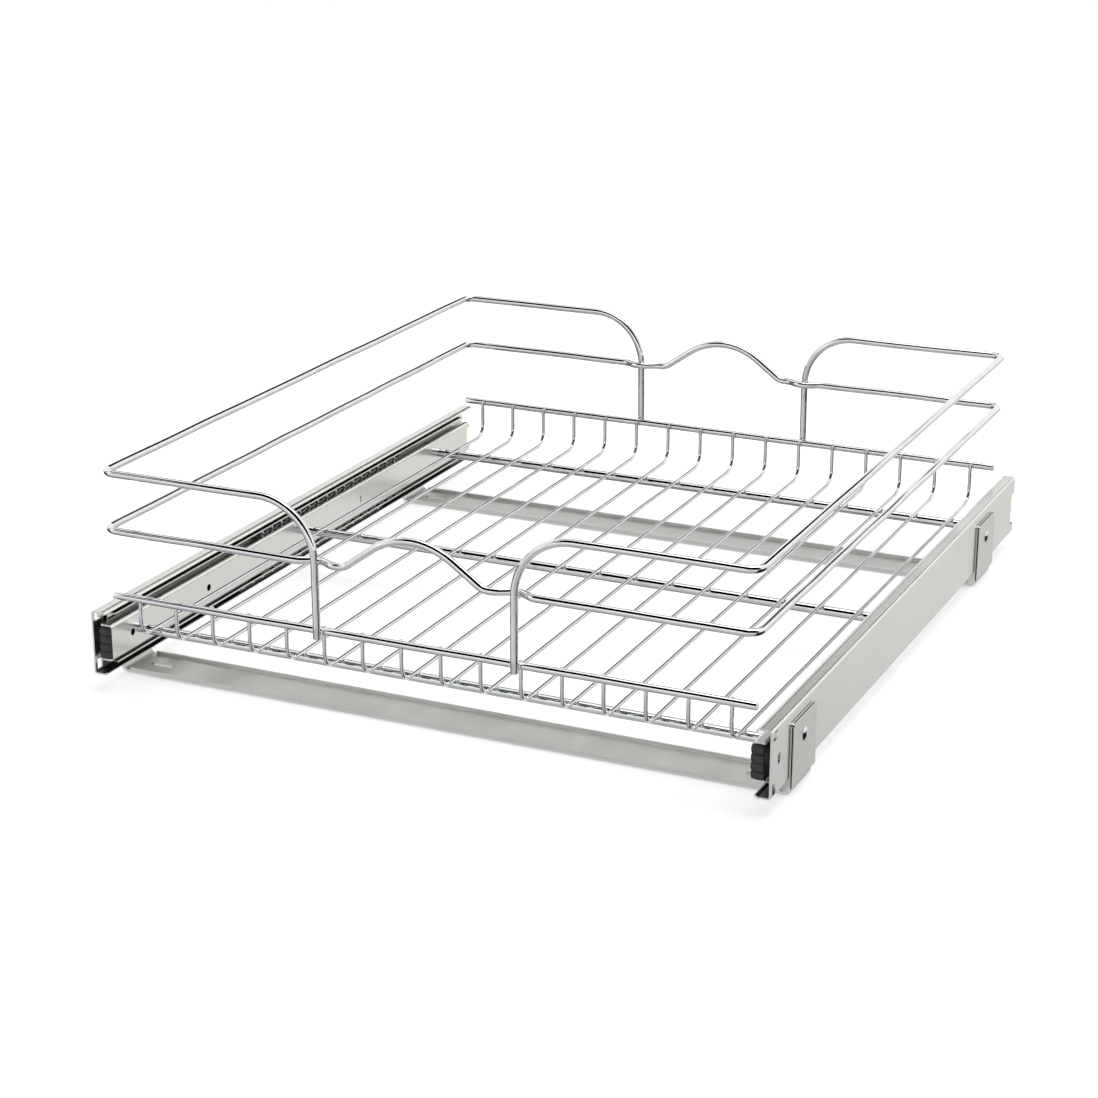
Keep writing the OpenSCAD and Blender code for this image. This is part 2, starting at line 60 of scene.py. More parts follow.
FLOOR_WIRES = sorted(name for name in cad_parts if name.startswith("floor_wire_"))
FLOOR_R = np.ptp([c[0] for c in corners(FLOOR_WIRES[0])]) / 2
FLOOR_BEND_R = 10 * MM
FLOOR_WAVER = 0.12 * MM
FLOOR_WIRE_SIDES = 16

rod_low, rod_high = corners("front_end_rod")
HEAVY_R = (rod_high[2] - rod_low[2]) / 2
HEAVY_SIDES = 28
END_ROD_Z = (rod_high[2] + rod_low[2]) / 2
END_RODS = ("front_end_rod", "rear_end_rod")
END_ROD_YS = [sum(c[1] for c in corners(n)) / 2 for n in END_RODS]
END_WAVER = 0.15 * MM

CROSS_RODS = ("front_cross_rod", "middle_cross_rod", "rear_cross_rod")
cross_low, cross_high = corners("front_cross_rod")
CROSS_R = (cross_high[2] - cross_low[2]) / 2
CROSS_Z = (cross_high[2] + cross_low[2]) / 2
CROSS_YS = [sum(c[1] for c in corners(n)) / 2 for n in CROSS_RODS]

upper_low, upper_high = corners("right_upper_rail")
hoop_low, hoop_high = corners("lower_hoop")
POST_X = upper_low[0] + HEAVY_R
HOOP_X = upper_high[0] - HEAVY_R
FRONT_Y = upper_low[1] + HEAVY_R
REAR_Y = upper_high[1] - HEAVY_R
HEAVY_WAVER = 0.25 * MM
UPPER_Z = upper_high[2] - HEAVY_R - HEAVY_WAVER
POST_FOOT_Z = upper_low[2]
HOOP_Z = hoop_low[2] + HEAVY_R
CROWN_Z = hoop_high[2] - HEAVY_R

# Bends of the heavy wires: the posts' shoulders, the corners, the crown and the feet of the
# handle bend, and the jogs in past the posts. A foot turns by about twice FOOT_HALF_TURN, and
# a straight of FOOT_MARGIN lies between it and the jog.
SHOULDER_R = 37 * MM
CORNER_R = 8 * MM
CROWN_R = 45 * MM
FOOT_R = 12 * MM
FOOT_HALF_TURN = math.radians(18)
FOOT_MARGIN = 0.8 * MM
JOG_R = 12 * MM
JOG_ANGLE = math.radians(30)

# What the solids leave between two wires that are fused on the real basket
WELD_GAP = 0.05 * MM

# Handle bend of the hoop: it steps in past each upright, then rises to a round crown
STEP_IN = 2 * HEAVY_R + WELD_GAP
JOG_CORNER = STEP_IN + JOG_R * (1 / math.cos(JOG_ANGLE) - 1)
JOG_RUN = JOG_CORNER / math.tan(JOG_ANGLE)
JOG_HALF = JOG_RUN + JOG_R * math.tan(JOG_ANGLE / 2)
FOOT_X = POST_X - JOG_HALF - FOOT_R * math.tan(FOOT_HALF_TURN) - FOOT_MARGIN
RISE = CROWN_Z - HOOP_Z
HANDLE_ANGLE = (math.atan2(FOOT_X, CROWN_R - RISE)
                - math.acos(CROWN_R / math.hypot(FOOT_X, CROWN_R - RISE)))
CROWN_CORNER = FOOT_X * math.tan(HANDLE_ANGLE)

# Tabs of the cross rails: their outer face, the sheet's thickness, the height above which a
# tab stands clear of its bend, and the depths under its outer face between which its cut
# edge is painted dark: bare steel where the sheet broke, with painted shade over it
TAB_X = corners("front_cross_rail")[1][0]
RAIL_T = 1.8 * MM
TAB_FOOT_Z = 5 * MM
SHADED_CUT_FROM, SHADED_CUT_TO = 0.55 * MM, 1.3 * MM

# Middle of a slide's section, in height and inwards from its back against the tab, and how
# far above and below it the ball races begin
SLIDE_MID_Z = sum(c[2] for c in corners("left_outer_member")) / 2
SLIDE_MID_U = 6 * MM
RACE_Z = 10 * MM

rng = np.random.default_rng(7)

# ---------------------------------------------------------------- materials


def srgb(code):
    """Linear colour of an sRGB hex code such as "#CDCDC8"."""
    parts = np.array([int(code[i:i + 2], 16) for i in (1, 3, 5)]) / 255
    linear = np.where(parts <= 0.04045, parts / 12.92, ((parts + 0.055) / 1.055) ** 2.4)
    return (*linear, 1.0)


def add(tree, kind, settings=None, **inputs):
    """Adds a shader node. settings are its own properties. inputs fill its sockets by name,
    with _ for a space, or by number after a _, each with a value or another node's output."""
    node = tree.nodes.new("ShaderNode" + kind)
    for name, value in (settings or {}).items():
        setattr(node, name, value)
    for name, value in inputs.items():
        number = name[1:]
        socket = node.inputs[int(number) if number.isdigit() else name.replace("_", " ")]
        if isinstance(value, bpy.types.NodeSocket):
            tree.links.new(value, socket)
        else:
            socket.default_value = value
    return node


def new_material(name, **surface):
    """A material with one Principled BSDF; surface holds the sockets set to fixed values."""
    mat = bpy.data.materials.new(name)
    mat.use_nodes = True
    tree = mat.node_tree
    tree.nodes.clear()
    shader = add(tree, "BsdfPrincipled", **surface)
    output = add(tree, "OutputMaterial")
    tree.links.new(shader.outputs["BSDF"], output.inputs["Surface"])
    return mat, tree, shader


def blend_colours(tree, factor, dark, light, low=0.3, high=0.7):
    """Colour that goes from dark to light as factor goes from low to high."""
    ramp = add(tree, "ValToRGB", Fac=factor)
    ramp.color_ramp.elements[0].position = low
    ramp.color_ramp.elements[0].color = srgb(dark)
    ramp.color_ramp.elements[1].position = high
    ramp.color_ramp.elements[1].color = srgb(light)
    return ramp.outputs["Color"]


def between(tree, value, low, high, soft):
    """1 where value lies between low and high, falling to 0 over the width soft."""
    rise = add(tree, "MapRange", {"interpolation_type": "SMOOTHSTEP"}, Value=value,
               From_Min=low - soft, From_Max=low)
    fall = add(tree, "MapRange", {"interpolation_type": "SMOOTHSTEP"}, Value=value,
               From_Min=high, From_Max=high + soft, To_Min=1.0, To_Max=0.0)
    return times(tree, rise.outputs["Result"], fall.outputs["Result"])


def times(tree, one, other):
    """The product of two values."""
    return add(tree, "Math", {"operation": "MULTIPLY"}, _0=one, _1=other).outputs["Value"]


def mixed_colour(tree, factor, one, other):
    """The first colour where factor is 0, and the other where it is 1."""
    mix = add(tree, "Mix", {"data_type": "RGBA"}, _0=factor, _6=one, _7=other)
    return mix.outputs[2]


def chrome_plate():
    """Bright nickel-chrome plate on drawn steel wire: a near mirror with the faint
    lengthwise lines of the drawing die under it, and a trace of handling haze."""
    mat, tree, shader = new_material("chrome_plated_wire", Metallic=1.0)
    along = add(tree, "Attribute", {"attribute_name": "wire_mm"})
    lines_place = add(tree, "Mapping", Vector=along.outputs["Vector"], Scale=(0.03, 2.2, 2.2))
    lines = add(tree, "TexNoise", Vector=lines_place.outputs["Vector"], Scale=1.0, Detail=3.0)
    haze = add(tree, "TexNoise", Vector=along.outputs["Vector"], Scale=0.06, Detail=4.0)
    rough = add(tree, "MapRange", Value=haze.outputs["Fac"], From_Min=0.3, From_Max=0.7,
                To_Min=0.02, To_Max=0.06)
    tree.links.new(rough.outputs["Result"], shader.inputs["Roughness"])
    tree.links.new(blend_colours(tree, haze.outputs["Fac"], "#DCDEE0", "#E8E9EA"),
                   shader.inputs["Base Color"])
    bump = add(tree, "Bump", Height=lines.outputs["Fac"], Strength=0.06, Distance=0.1 * MM)
    tree.links.new(bump.outputs["Normal"], shader.inputs["Normal"])
    return mat


def zinc_plate():
    """Bright zinc plate on cold-rolled strip: a soft warm-grey metal whose rolling lines
    run along the slide, with the slightly cloudy tone of the plating bath."""
    mat, tree, shader = new_material("zinc_plated_strip", Metallic=1.0)
    place = add(tree, "TexCoord").outputs["Object"]
    rolling_place = add(tree, "Mapping", Vector=place, Scale=(2600, 12, 2600))
    rolling = add(tree, "TexNoise", Vector=rolling_place.outputs["Vector"], Scale=1.0, Detail=4.0)
    cloud = add(tree, "TexNoise", Vector=place, Scale=38.0, Detail=5.0, Roughness=0.6)
    grit = add(tree, "TexNoise", Vector=place, Scale=1500.0, Detail=2.0)
    mixed = add(tree, "Math", {"operation": "MULTIPLY_ADD"}, _0=cloud.outputs["Fac"], _1=0.55,
                _2=times(tree, rolling.outputs["Fac"], 0.45))
    tree.links.new(blend_colours(tree, mixed.outputs["Value"], "#E3E3DE", "#EBEBE6"),
                   shader.inputs["Base Color"])
    rough = add(tree, "MapRange", Value=mixed.outputs["Value"], From_Min=0.3, From_Max=0.7,
                To_Min=0.22, To_Max=0.27)
    tree.links.new(rough.outputs["Result"], shader.inputs["Roughness"])
    rolled = add(tree, "Bump", Height=rolling.outputs["Fac"], Strength=0.03, Distance=0.05 * MM)
    pitted = add(tree, "Bump", Height=grit.outputs["Fac"], Strength=0.008, Distance=0.05 * MM,
                 Normal=rolled.outputs["Normal"])
    tree.links.new(pitted.outputs["Normal"], shader.inputs["Normal"])
    return mat


def tab_cut_shade(tree, place):
    """1 on the cut edges of the tabs, painted as bare steel darkened by painted shade and
    reflection, else 0.
    """
    at = add(tree, "SeparateXYZ", Vector=place)
    facing = add(tree, "SeparateXYZ", Vector=add(tree, "TexCoord").outputs["Normal"])
    across = add(tree, "Math", {"operation": "ABSOLUTE"}, _0=at.outputs["X"]).outputs["Value"]
    sideways = add(tree, "Math", {"operation": "ABSOLUTE"}, _0=facing.outputs["Y"])
    cut = add(tree, "Math", {"operation": "MAXIMUM"}, _0=sideways.outputs["Value"],
              _1=facing.outputs["Z"]).outputs["Value"]
    tab = times(tree, between(tree, at.outputs["Z"], TAB_FOOT_Z, 1.0, MM),
                between(tree, cut, 0.95, 2.0, 0.05))
    shaded_cut = between(tree, across, TAB_X - SHADED_CUT_TO, TAB_X - SHADED_CUT_FROM, 0.15 * MM)
    return times(tree, tab, shaded_cut)


def galvanised():
    """Hot-dip galvanised sheet, pressed: greener and duller than the slides, with a low
    spangle of zinc crystals 4 to 8 mm across and fine rolling lines along the rail. The tabs'
    cut edges show bare steel where the sheet broke, painted dark with shade and reflection."""
    mat, tree, shader = new_material("galvanised_sheet", Metallic=1.0)
    place = add(tree, "TexCoord").outputs["Object"]
    spangle = add(tree, "TexVoronoi", {"feature": "F1"}, Vector=place, Scale=170.0)
    rolling_place = add(tree, "Mapping", Vector=place, Scale=(14, 1800, 1800))
    rolling = add(tree, "TexNoise", Vector=rolling_place.outputs["Vector"], Scale=1.0, Detail=4.0)
    stain = add(tree, "TexNoise", Vector=place, Scale=26.0, Detail=6.0, Roughness=0.62)
    crystal = add(tree, "SeparateColor", Color=spangle.outputs["Color"])
    tone = add(tree, "Math", {"operation": "MULTIPLY_ADD"}, _0=crystal.outputs["Red"], _1=0.12,
               _2=stain.outputs["Fac"])
    coat = blend_colours(tree, tone.outputs["Value"], "#DCDDD8", "#E9E9E5", 0.35, 0.85)
    # The tabs' cut edges are painted dark: bare steel with painted shade and reflection over it
    tree.links.new(mixed_colour(tree, tab_cut_shade(tree, place), coat, srgb("#3A3C3A")),
                   shader.inputs["Base Color"])
    rough = add(tree, "MapRange", Value=tone.outputs["Value"], From_Min=0.35, From_Max=0.85,
                To_Min=0.36, To_Max=0.42)
    tree.links.new(rough.outputs["Result"], shader.inputs["Roughness"])
    bump = add(tree, "Bump", Height=rolling.outputs["Fac"], Strength=0.08, Distance=0.05 * MM)
    tree.links.new(bump.outputs["Normal"], shader.inputs["Normal"])
    return mat


def painted_race_shade():
    """The ball races of the slides: the same strip with the shade inside the channel painted on
    it, dark and a little mottled, so that they read almost black between their bright edges."""
    mat, tree, shader = new_material("painted_race_shade", Metallic=1.0)
    place = add(tree, "TexCoord").outputs["Object"]
    film = add(tree, "TexNoise", Vector=place, Scale=90.0, Detail=4.0)
    tree.links.new(blend_colours(tree, film.outputs["Fac"], "#3C3C3A", "#585855"),
                   shader.inputs["Base Color"])
    rough = add(tree, "MapRange", Value=film.outputs["Fac"], From_Min=0.3, From_Max=0.7,
                To_Min=0.30, To_Max=0.45)
    tree.links.new(rough.outputs["Result"], shader.inputs["Roughness"])
    return mat


def retainer_strip():
    """Thin stamped strip of the ball retainers: plated steel dulled by a film of grease."""
    mat, tree, shader = new_material("greased_retainer_strip", Metallic=1.0)
    place = add(tree, "TexCoord").outputs["Object"]
    film = add(tree, "TexNoise", Vector=place, Scale=120.0, Detail=4.0)
    tree.links.new(blend_colours(tree, film.outputs["Fac"], "#8A8B88", "#A9AAA7"),
                   shader.inputs["Base Color"])
    rough = add(tree, "MapRange", Value=film.outputs["Fac"], From_Min=0.3, From_Max=0.7,
                To_Min=0.28, To_Max=0.5)
    tree.links.new(rough.outputs["Result"], shader.inputs["Roughness"])
    return mat


def ball_steel():
    """Polished chrome-steel bearing balls with a faint grease haze."""
    mat, tree, shader = new_material("bearing_ball_steel", Metallic=1.0)
    place = add(tree, "TexCoord").outputs["Object"]
    film = add(tree, "TexNoise", Vector=place, Scale=700.0, Detail=2.0)
    tree.links.new(blend_colours(tree, film.outputs["Fac"], "#CFCFD1", "#E0E0E2"),
                   shader.inputs["Base Color"])
    rough = add(tree, "MapRange", Value=film.outputs["Fac"], From_Min=0.3, From_Max=0.7,
                To_Min=0.06, To_Max=0.18)
    tree.links.new(rough.outputs["Result"], shader.inputs["Roughness"])
    return mat


def headed_steel():
    """Zinc-plated rivets and screws: cold-headed steel, brighter than the strip and faintly
    hammered by the heading die."""
    mat, tree, shader = new_material("headed_steel", Metallic=1.0)
    place = add(tree, "TexCoord").outputs["Object"]
    hammered = add(tree, "TexNoise", Vector=place, Scale=600.0, Detail=3.0)
    tree.links.new(blend_colours(tree, hammered.outputs["Fac"], "#CACBCA", "#E2E3E2"),
                   shader.inputs["Base Color"])
    rough = add(tree, "MapRange", Value=hammered.outputs["Fac"], From_Min=0.3, From_Max=0.7,
                To_Min=0.08, To_Max=0.16)
    tree.links.new(rough.outputs["Result"], shader.inputs["Roughness"])
    bump = add(tree, "Bump", Height=hammered.outputs["Fac"], Strength=0.15, Distance=0.05 * MM)
    tree.links.new(bump.outputs["Normal"], shader.inputs["Normal"])
    return mat


def black_plastic():
    """Black moulded polypropylene: satin, with the fine spark-eroded grain of the mould."""
    mat, tree, shader = new_material("black_moulded_plastic", Metallic=0.0, IOR=1.49)
    place = add(tree, "TexCoord").outputs["Object"]
    grain = add(tree, "TexNoise", Vector=place, Scale=1800.0, Detail=3.0)
    bloom = add(tree, "TexNoise", Vector=place, Scale=160.0, Detail=3.0)
    tree.links.new(blend_colours(tree, bloom.outputs["Fac"], "#323233", "#434344"),
                   shader.inputs["Base Color"])
    rough = add(tree, "MapRange", Value=bloom.outputs["Fac"], From_Min=0.3, From_Max=0.7,
                To_Min=0.42, To_Max=0.56)
    tree.links.new(rough.outputs["Result"], shader.inputs["Roughness"])
    bump = add(tree, "Bump", Height=grain.outputs["Fac"], Strength=0.25, Distance=0.05 * MM)
    tree.links.new(bump.outputs["Normal"], shader.inputs["Normal"])
    return mat


CHROME = chrome_plate()
ZINC = zinc_plate()
GALVANISED = galvanised()
# Painted shade for the slides' ball races, dark inside the channels
RACE_SHADE = painted_race_shade()
RETAINER = retainer_strip()
BALL = ball_steel()
HEADED = headed_steel()
PLASTIC = black_plastic()

# ---------------------------------------------------------------- bent wire


def unit(v):
    """v over its own length."""
    return v / np.linalg.norm(v)


def turned(v, axis, angles):
    """v turned about the unit axis by each of the angles (Rodrigues' formula):
    v cos a + (axis x v) sin a + axis (axis . v)(1 - cos a)."""
    c, s = np.cos(angles)[:, None], np.sin(angles)[:, None]
    return v * c + np.cross(axis, v) * s + axis * (axis @ v) * (1 - c)


def wire_stations(points, bend_radii, step=9 * MM, turn=math.radians(6)):
    """Stations along a wire of straights and round bends: places and the two axes of the
    ring at each. On a straight the place is start + t (end - start). In a bend of radius R
    from direction u towards n it is centre + R (u sin a - n cos a), and the ring turns
    about u x n with it."""
    points = np.asarray(points, float)
    legs = np.diff(points, axis=0)
    dirs = legs / np.linalg.norm(legs, axis=1)[:, None]
    turns = np.arccos(np.clip((dirs[:-1] * dirs[1:]).sum(1), -1, 1))
    cuts = np.concatenate([[0], np.asarray(bend_radii) * np.tan(turns / 2), [0]])
    side = unit(np.cross(dirs[0], [0.3, 0.2, 0.9] if abs(dirs[0][2]) < 0.9 else [1, 0, 0]))
    other = np.cross(dirs[0], side)
    places, sides, others = [], [], []
    for i, u in enumerate(dirs):
        start, end = points[i] + u * cuts[i], points[i + 1] - u * cuts[i + 1]
        count = max(2, math.ceil(np.linalg.norm(end - start) / step) + 1)
        t = np.linspace(0, 1, count)[:, None]
        places.append(start + (end - start) * t)
        sides.append(np.repeat(side[None], count, 0))
        others.append(np.repeat(other[None], count, 0))
        if i < len(turns):
            n = unit(dirs[i + 1] - u * (u @ dirs[i + 1]))
            axis = np.cross(u, n)
            a = np.linspace(0, turns[i], max(4, math.ceil(turns[i] / turn) + 1))
            radius = bend_radii[i]
            inner = a[1:-1, None]
            places.append(end + n * radius + radius * (u * np.sin(inner) - n * np.cos(inner)))
            sides.append(turned(side, axis, a[1:-1]))
            others.append(turned(other, axis, a[1:-1]))
            side, other = turned(side, axis, a[-1:])[0], turned(other, axis, a[-1:])[0]
    return np.concatenate(places), np.concatenate(sides), np.concatenate(others)


def wavering(places, sides, others, size):
    """The places moved across the wire by a sum of three slow sine waves each way, as
    straightened wire keeps a trace of the coil; it dies out at both ends."""
    s = np.concatenate([[0], np.cumsum(np.linalg.norm(np.diff(places, axis=0), axis=1))])
    fade = np.clip(np.minimum(s, s[-1] - s) / (30 * MM), 0, 1)[:, None]
    waves = rng.uniform(60, 170, 6) * MM
    phases = rng.uniform(0, 2 * np.pi, 6)
    swing = np.sin(2 * np.pi * s[:, None] / waves + phases)
    return places + size * fade * (swing[:, :3].mean(1)[:, None] * sides
                                   + swing[:, 3:].mean(1)[:, None] * others)


def rounded_ends(places, sides, others, radius, edge):
    """Stations and ring radii with a quarter-round edge at both ends: at angle a the ring
    lies edge (1 - sin a) from the end and has the radius radius - edge (1 - cos a)."""
    a = np.linspace(0, np.pi / 2, 4)
    back = edge * (1 - np.sin(a))[:, None]
    ring = radius - edge * (1 - np.cos(a))
    first, last = unit(places[1] - places[0]), unit(places[-1] - places[-2])
    n = len(a)
    return (np.concatenate([(places[0] + first * back)[::-1], places[1:-1],
                            places[-1] - last * back]),
            np.concatenate([np.repeat(sides[:1], n, 0), sides[1:-1], np.repeat(sides[-1:], n, 0)]),
            np.concatenate([np.repeat(others[:1], n, 0), others[1:-1],
                            np.repeat(others[-1:], n, 0)]),
            np.concatenate([ring[::-1], np.full(len(places) - 2, radius), ring]))


def grid_faces(rows, columns, closed_rows=False):
    """Quads of a grid of points whose columns wrap round, and whose rows may."""
    r = np.arange(rows if closed_rows else rows - 1)[:, None]
    c = np.arange(columns)[None, :]
    up, right = (r + 1) % rows, (c + 1) % columns
    quads = np.stack([r * columns + c, r * columns + right, up * columns + right,
                      up * columns + c], -1)
    return quads.reshape(-1, 4)


def mesh_object(name, verts, faces, material):
    """A smooth-shaded object at the origin made of the points and faces, in one material."""
    mesh = bpy.data.meshes.new(name)
    mesh.from_pydata(np.asarray(verts).tolist(), [], [list(map(int, f)) for f in faces])
    mesh.polygons.foreach_set("use_smooth", np.full(len(mesh.polygons), True))
    mesh.materials.append(material)
    mesh.update()
    piece = bpy.data.objects.new(name, mesh)
    bpy.context.scene.collection.objects.link(piece)
    return piece


def wire(name, points, bend_radii, radius, around, closed=False, waver=0.0, edge=0.35 * MM):
    """A round wire: point (i, j) of its surface is place_i + r_i (side_i cos b_j +
    other_i sin b_j). The attribute wire_mm holds the way along it and the two offsets
    across it, so that the finish follows the wire."""
    places, sides, others = wire_stations(points, bend_radii)
    if waver:
        places = wavering(places, sides, others, waver)
    if closed:
        places, sides, others = places[:-1], sides[:-1], others[:-1]
        radii = np.full(len(places), radius)
    else:
        places, sides, others, radii = rounded_ends(places, sides, others, radius, edge)
    b = np.linspace(0, 2 * np.pi, around, endpoint=False)
    ring = (sides[:, None, :] * np.cos(b)[None, :, None]
            + others[:, None, :] * np.sin(b)[None, :, None])
    verts = (places[:, None, :] + radii[:, None, None] * ring).reshape(-1, 3)
    faces = grid_faces(len(places), around, closed).tolist()
    if not closed:
        last = (len(places) - 1) * around
        faces.append(list(range(around))[::-1])
        faces.append(list(range(last, last + around)))
    piece = mesh_object(name, verts, faces, CHROME)
    s = np.concatenate([[0], np.cumsum(np.linalg.norm(np.diff(places, axis=0), axis=1))])
    along = np.stack([np.repeat(s, around), np.tile(radius * np.cos(b), len(s)),
                      np.tile(radius * np.sin(b), len(s))], 1) / MM
    attribute = piece.data.attributes.new("wire_mm", "FLOAT_VECTOR", "POINT")
    attribute.data.foreach_set("vector", along.astype(np.float32).ravel())
    return outwards(piece)


def outwards(piece):
    """Turns the faces of a closed mesh to point outwards."""
    bm = bmesh.new()
    bm.from_mesh(piece.data)
    bmesh.ops.recalc_face_normals(bm, faces=bm.faces)
    bm.to_mesh(piece.data)
    bm.free()
    return piece


def fit(piece, node, body):
    """The piece stands for the node and rides on the body."""
    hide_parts(node)
    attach(piece, body)
    return piece


# ---------------------------------------------------------------- basket wires


def floor_wire(node):
    """A long U: down from the front end rod, back along the floor and up to the rear one."""
    low, high = corners(node)
    x = (low[0] + high[0]) / 2
    y0, y1, z0 = low[1] + FLOOR_R, high[1] - FLOOR_R, low[2] + FLOOR_R
    points = [[x, y0, high[2]], [x, y0, z0], [x, y1, z0], [x, y1, high[2]]]
    piece = wire("wire_" + node, points, [FLOOR_BEND_R] * 2, FLOOR_R, FLOOR_WIRE_SIDES,
                 waver=FLOOR_WAVER, edge=0.3 * MM)
    fit(piece, node, "basket")


def straight_rod(node, radius, waver):
    """A round rod along x, as long as its node."""
    low, high = corners(node)
    y, z = (low[1] + high[1]) / 2, (low[2] + high[2]) / 2
    piece = wire("rod_" + node, [[low[0], y, z], [high[0], y, z]], [], radius, HEAVY_SIDES,
                 waver=waver)
    fit(piece, node, "basket")


def upper_rail(side, sign):
    """One wire: up the front post, round the shoulder and the front corner, back along the
    side, and the same way down to the foot of the rear post."""
    points = [[sign * POST_X, FRONT_Y, POST_FOOT_Z], [sign * POST_X, FRONT_Y, UPPER_Z],
              [sign * HOOP_X, FRONT_Y, UPPER_Z], [sign * HOOP_X, REAR_Y, UPPER_Z],
              [sign * POST_X, REAR_Y, UPPER_Z], [sign * POST_X, REAR_Y, POST_FOOT_Z]]
    piece = wire(f"wire_{side}_upper_rail", points, [SHOULDER_R, CORNER_R, CORNER_R, SHOULDER_R],
                 HEAVY_R, HEAVY_SIDES, waver=HEAVY_WAVER)
    fit(piece, f"{side}_upper_rail", "basket")


def hoop_side(y, inwards):
    """Corner points of one long side of the hoop, from -X to +X."""
    left = [[-HOOP_X, y, HOOP_Z], [-POST_X - JOG_RUN, y, HOOP_Z],
            [-POST_X, y + inwards * JOG_CORNER, HOOP_Z], [-POST_X + JOG_RUN, y, HOOP_Z],
            [-FOOT_X, y, HOOP_Z]]
    right = [[-x, py, pz] for x, py, pz in reversed(left)]
    return left + [[0, y, HOOP_Z + CROWN_CORNER]] + right


def lower_hoop():
    """One closed wire with a handle bend in front and behind, butt-welded on its left side."""
    radii = [CORNER_R, JOG_R, JOG_R, JOG_R, FOOT_R, CROWN_R, FOOT_R, JOG_R, JOG_R, JOG_R, CORNER_R]
    butt = [-HOOP_X, (FRONT_Y + REAR_Y) / 2, HOOP_Z]
    points = [butt] + hoop_side(FRONT_Y, 1) + hoop_side(REAR_Y, -1)[::-1] + [butt]
    piece = wire("wire_lower_hoop", points, radii + radii, HEAVY_R, HEAVY_SIDES, closed=True,
                 waver=HEAVY_WAVER)
    fit(piece, "lower_hoop", "basket")


def weld_nuggets():
    """The small squeezed collars where crossed wires are fused: an ellipsoid at each
    crossing, centre + (a cos p cos t, b cos p sin t, c sin p), flattened along the line
    between the two wires."""
    wire_xs = [sum(c[0] for c in corners(n)) / 2 for n in FLOOR_WIRES]
    inner = (1, -1)
    light = (1.75 * MM, 1.75 * MM, 0.75 * MM)
    heavy = (2.9 * MM, 2.9 * MM, 1.3 * MM)
    spots = []
    for x in wire_xs:
        for y in CROSS_YS:
            spots.append(([x, y, CROSS_Z + CROSS_R], light))
        for k, y in enumerate(END_ROD_YS):
            spots.append(([x, y + inner[k] * HEAVY_R, END_ROD_Z], (light[0], light[2], light[1])))
    for x in (-POST_X, POST_X):
        for k, (post_y, rod_y) in enumerate(zip((FRONT_Y, REAR_Y), END_ROD_YS)):
            spots.append(([x, (post_y + rod_y) / 2, END_ROD_Z], (heavy[0], heavy[2], heavy[1])))
            spots.append(([x, post_y + inner[k] * (HEAVY_R + WELD_GAP / 2), HOOP_Z],
                          (heavy[0], heavy[2], heavy[1])))
    rows, columns = 7, 12
    p = np.linspace(-np.pi / 2, np.pi / 2, rows)[1:-1, None]
    t = np.linspace(0, 2 * np.pi, columns, endpoint=False)[None, :]
    ball = np.stack([np.cos(p) * np.cos(t), np.cos(p) * np.sin(t), np.sin(p) + 0 * t], -1)
    ball = np.concatenate([ball.reshape(-1, 3), [[0, 0, -1]], [[0, 0, 1]]])
    sides = grid_faces(rows - 2, columns).tolist()
    bottom, top = len(ball) - 2, len(ball) - 1
    last = (rows - 3) * columns
    caps = [[bottom, (j + 1) % columns, j] for j in range(columns)]
    caps += [[top, last + j, last + (j + 1) % columns] for j in range(columns)]
    verts, faces = [], []
    for k, (centre, size) in enumerate(spots):
        verts.append(np.asarray(centre) + ball * np.asarray(size) * rng.uniform(0.85, 1.12, 3))
        faces += [[v + k * len(ball) for v in face] for face in sides + caps]
    piece = mesh_object("weld_nuggets", np.concatenate(verts), faces, CHROME)
    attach(piece, "basket")


for name in FLOOR_WIRES:
    floor_wire(name)
for name in CROSS_RODS:
    straight_rod(name, CROSS_R, 0.0)
for name in END_RODS:
    straight_rod(name, HEAVY_R, END_WAVER)
upper_rail("left", -1)
upper_rail("right", 1)
lower_hoop()
weld_nuggets()

# ---------------------------------------------------------------- pressed sheet parts


def finished_sheet(node, body, material, edge=0.18 * MM):
    """A copy of a sheet part with its flat faces joined up and its sheared edges eased by a
    small round, as tumbling and plating leave them. Normals weighted by area keep the flats
    evenly shaded up to that round."""
    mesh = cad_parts[node].data.copy()
    bm = bmesh.new()
    bm.from_mesh(mesh)
    bmesh.ops.remove_doubles(bm, verts=bm.verts, dist=1e-6)
    bmesh.ops.dissolve_limit(bm, angle_limit=math.radians(0.5), verts=bm.verts, edges=bm.edges)
    bm.to_mesh(mesh)
    bm.free()
    mesh.materials.clear()
    mesh.materials.append(material)
    mesh.polygons.foreach_set("use_smooth", np.full(len(mesh.polygons), True))
    piece = bpy.data.objects.new("sheet_" + node, mesh)
    bpy.context.scene.collection.objects.link(piece)
    bevel = piece.modifiers.new("eased_edges", "BEVEL")
    bevel.width = edge
    bevel.segments = 2
    bevel.limit_method = "ANGLE"
    bevel.angle_limit = math.radians(35)
    shading = piece.modifiers.new("flats_shade_flat", "WEIGHTED_NORMAL")
    shading.mode = "FACE_AREA"
    shading.weight = 100
    return fit(piece, node, body)


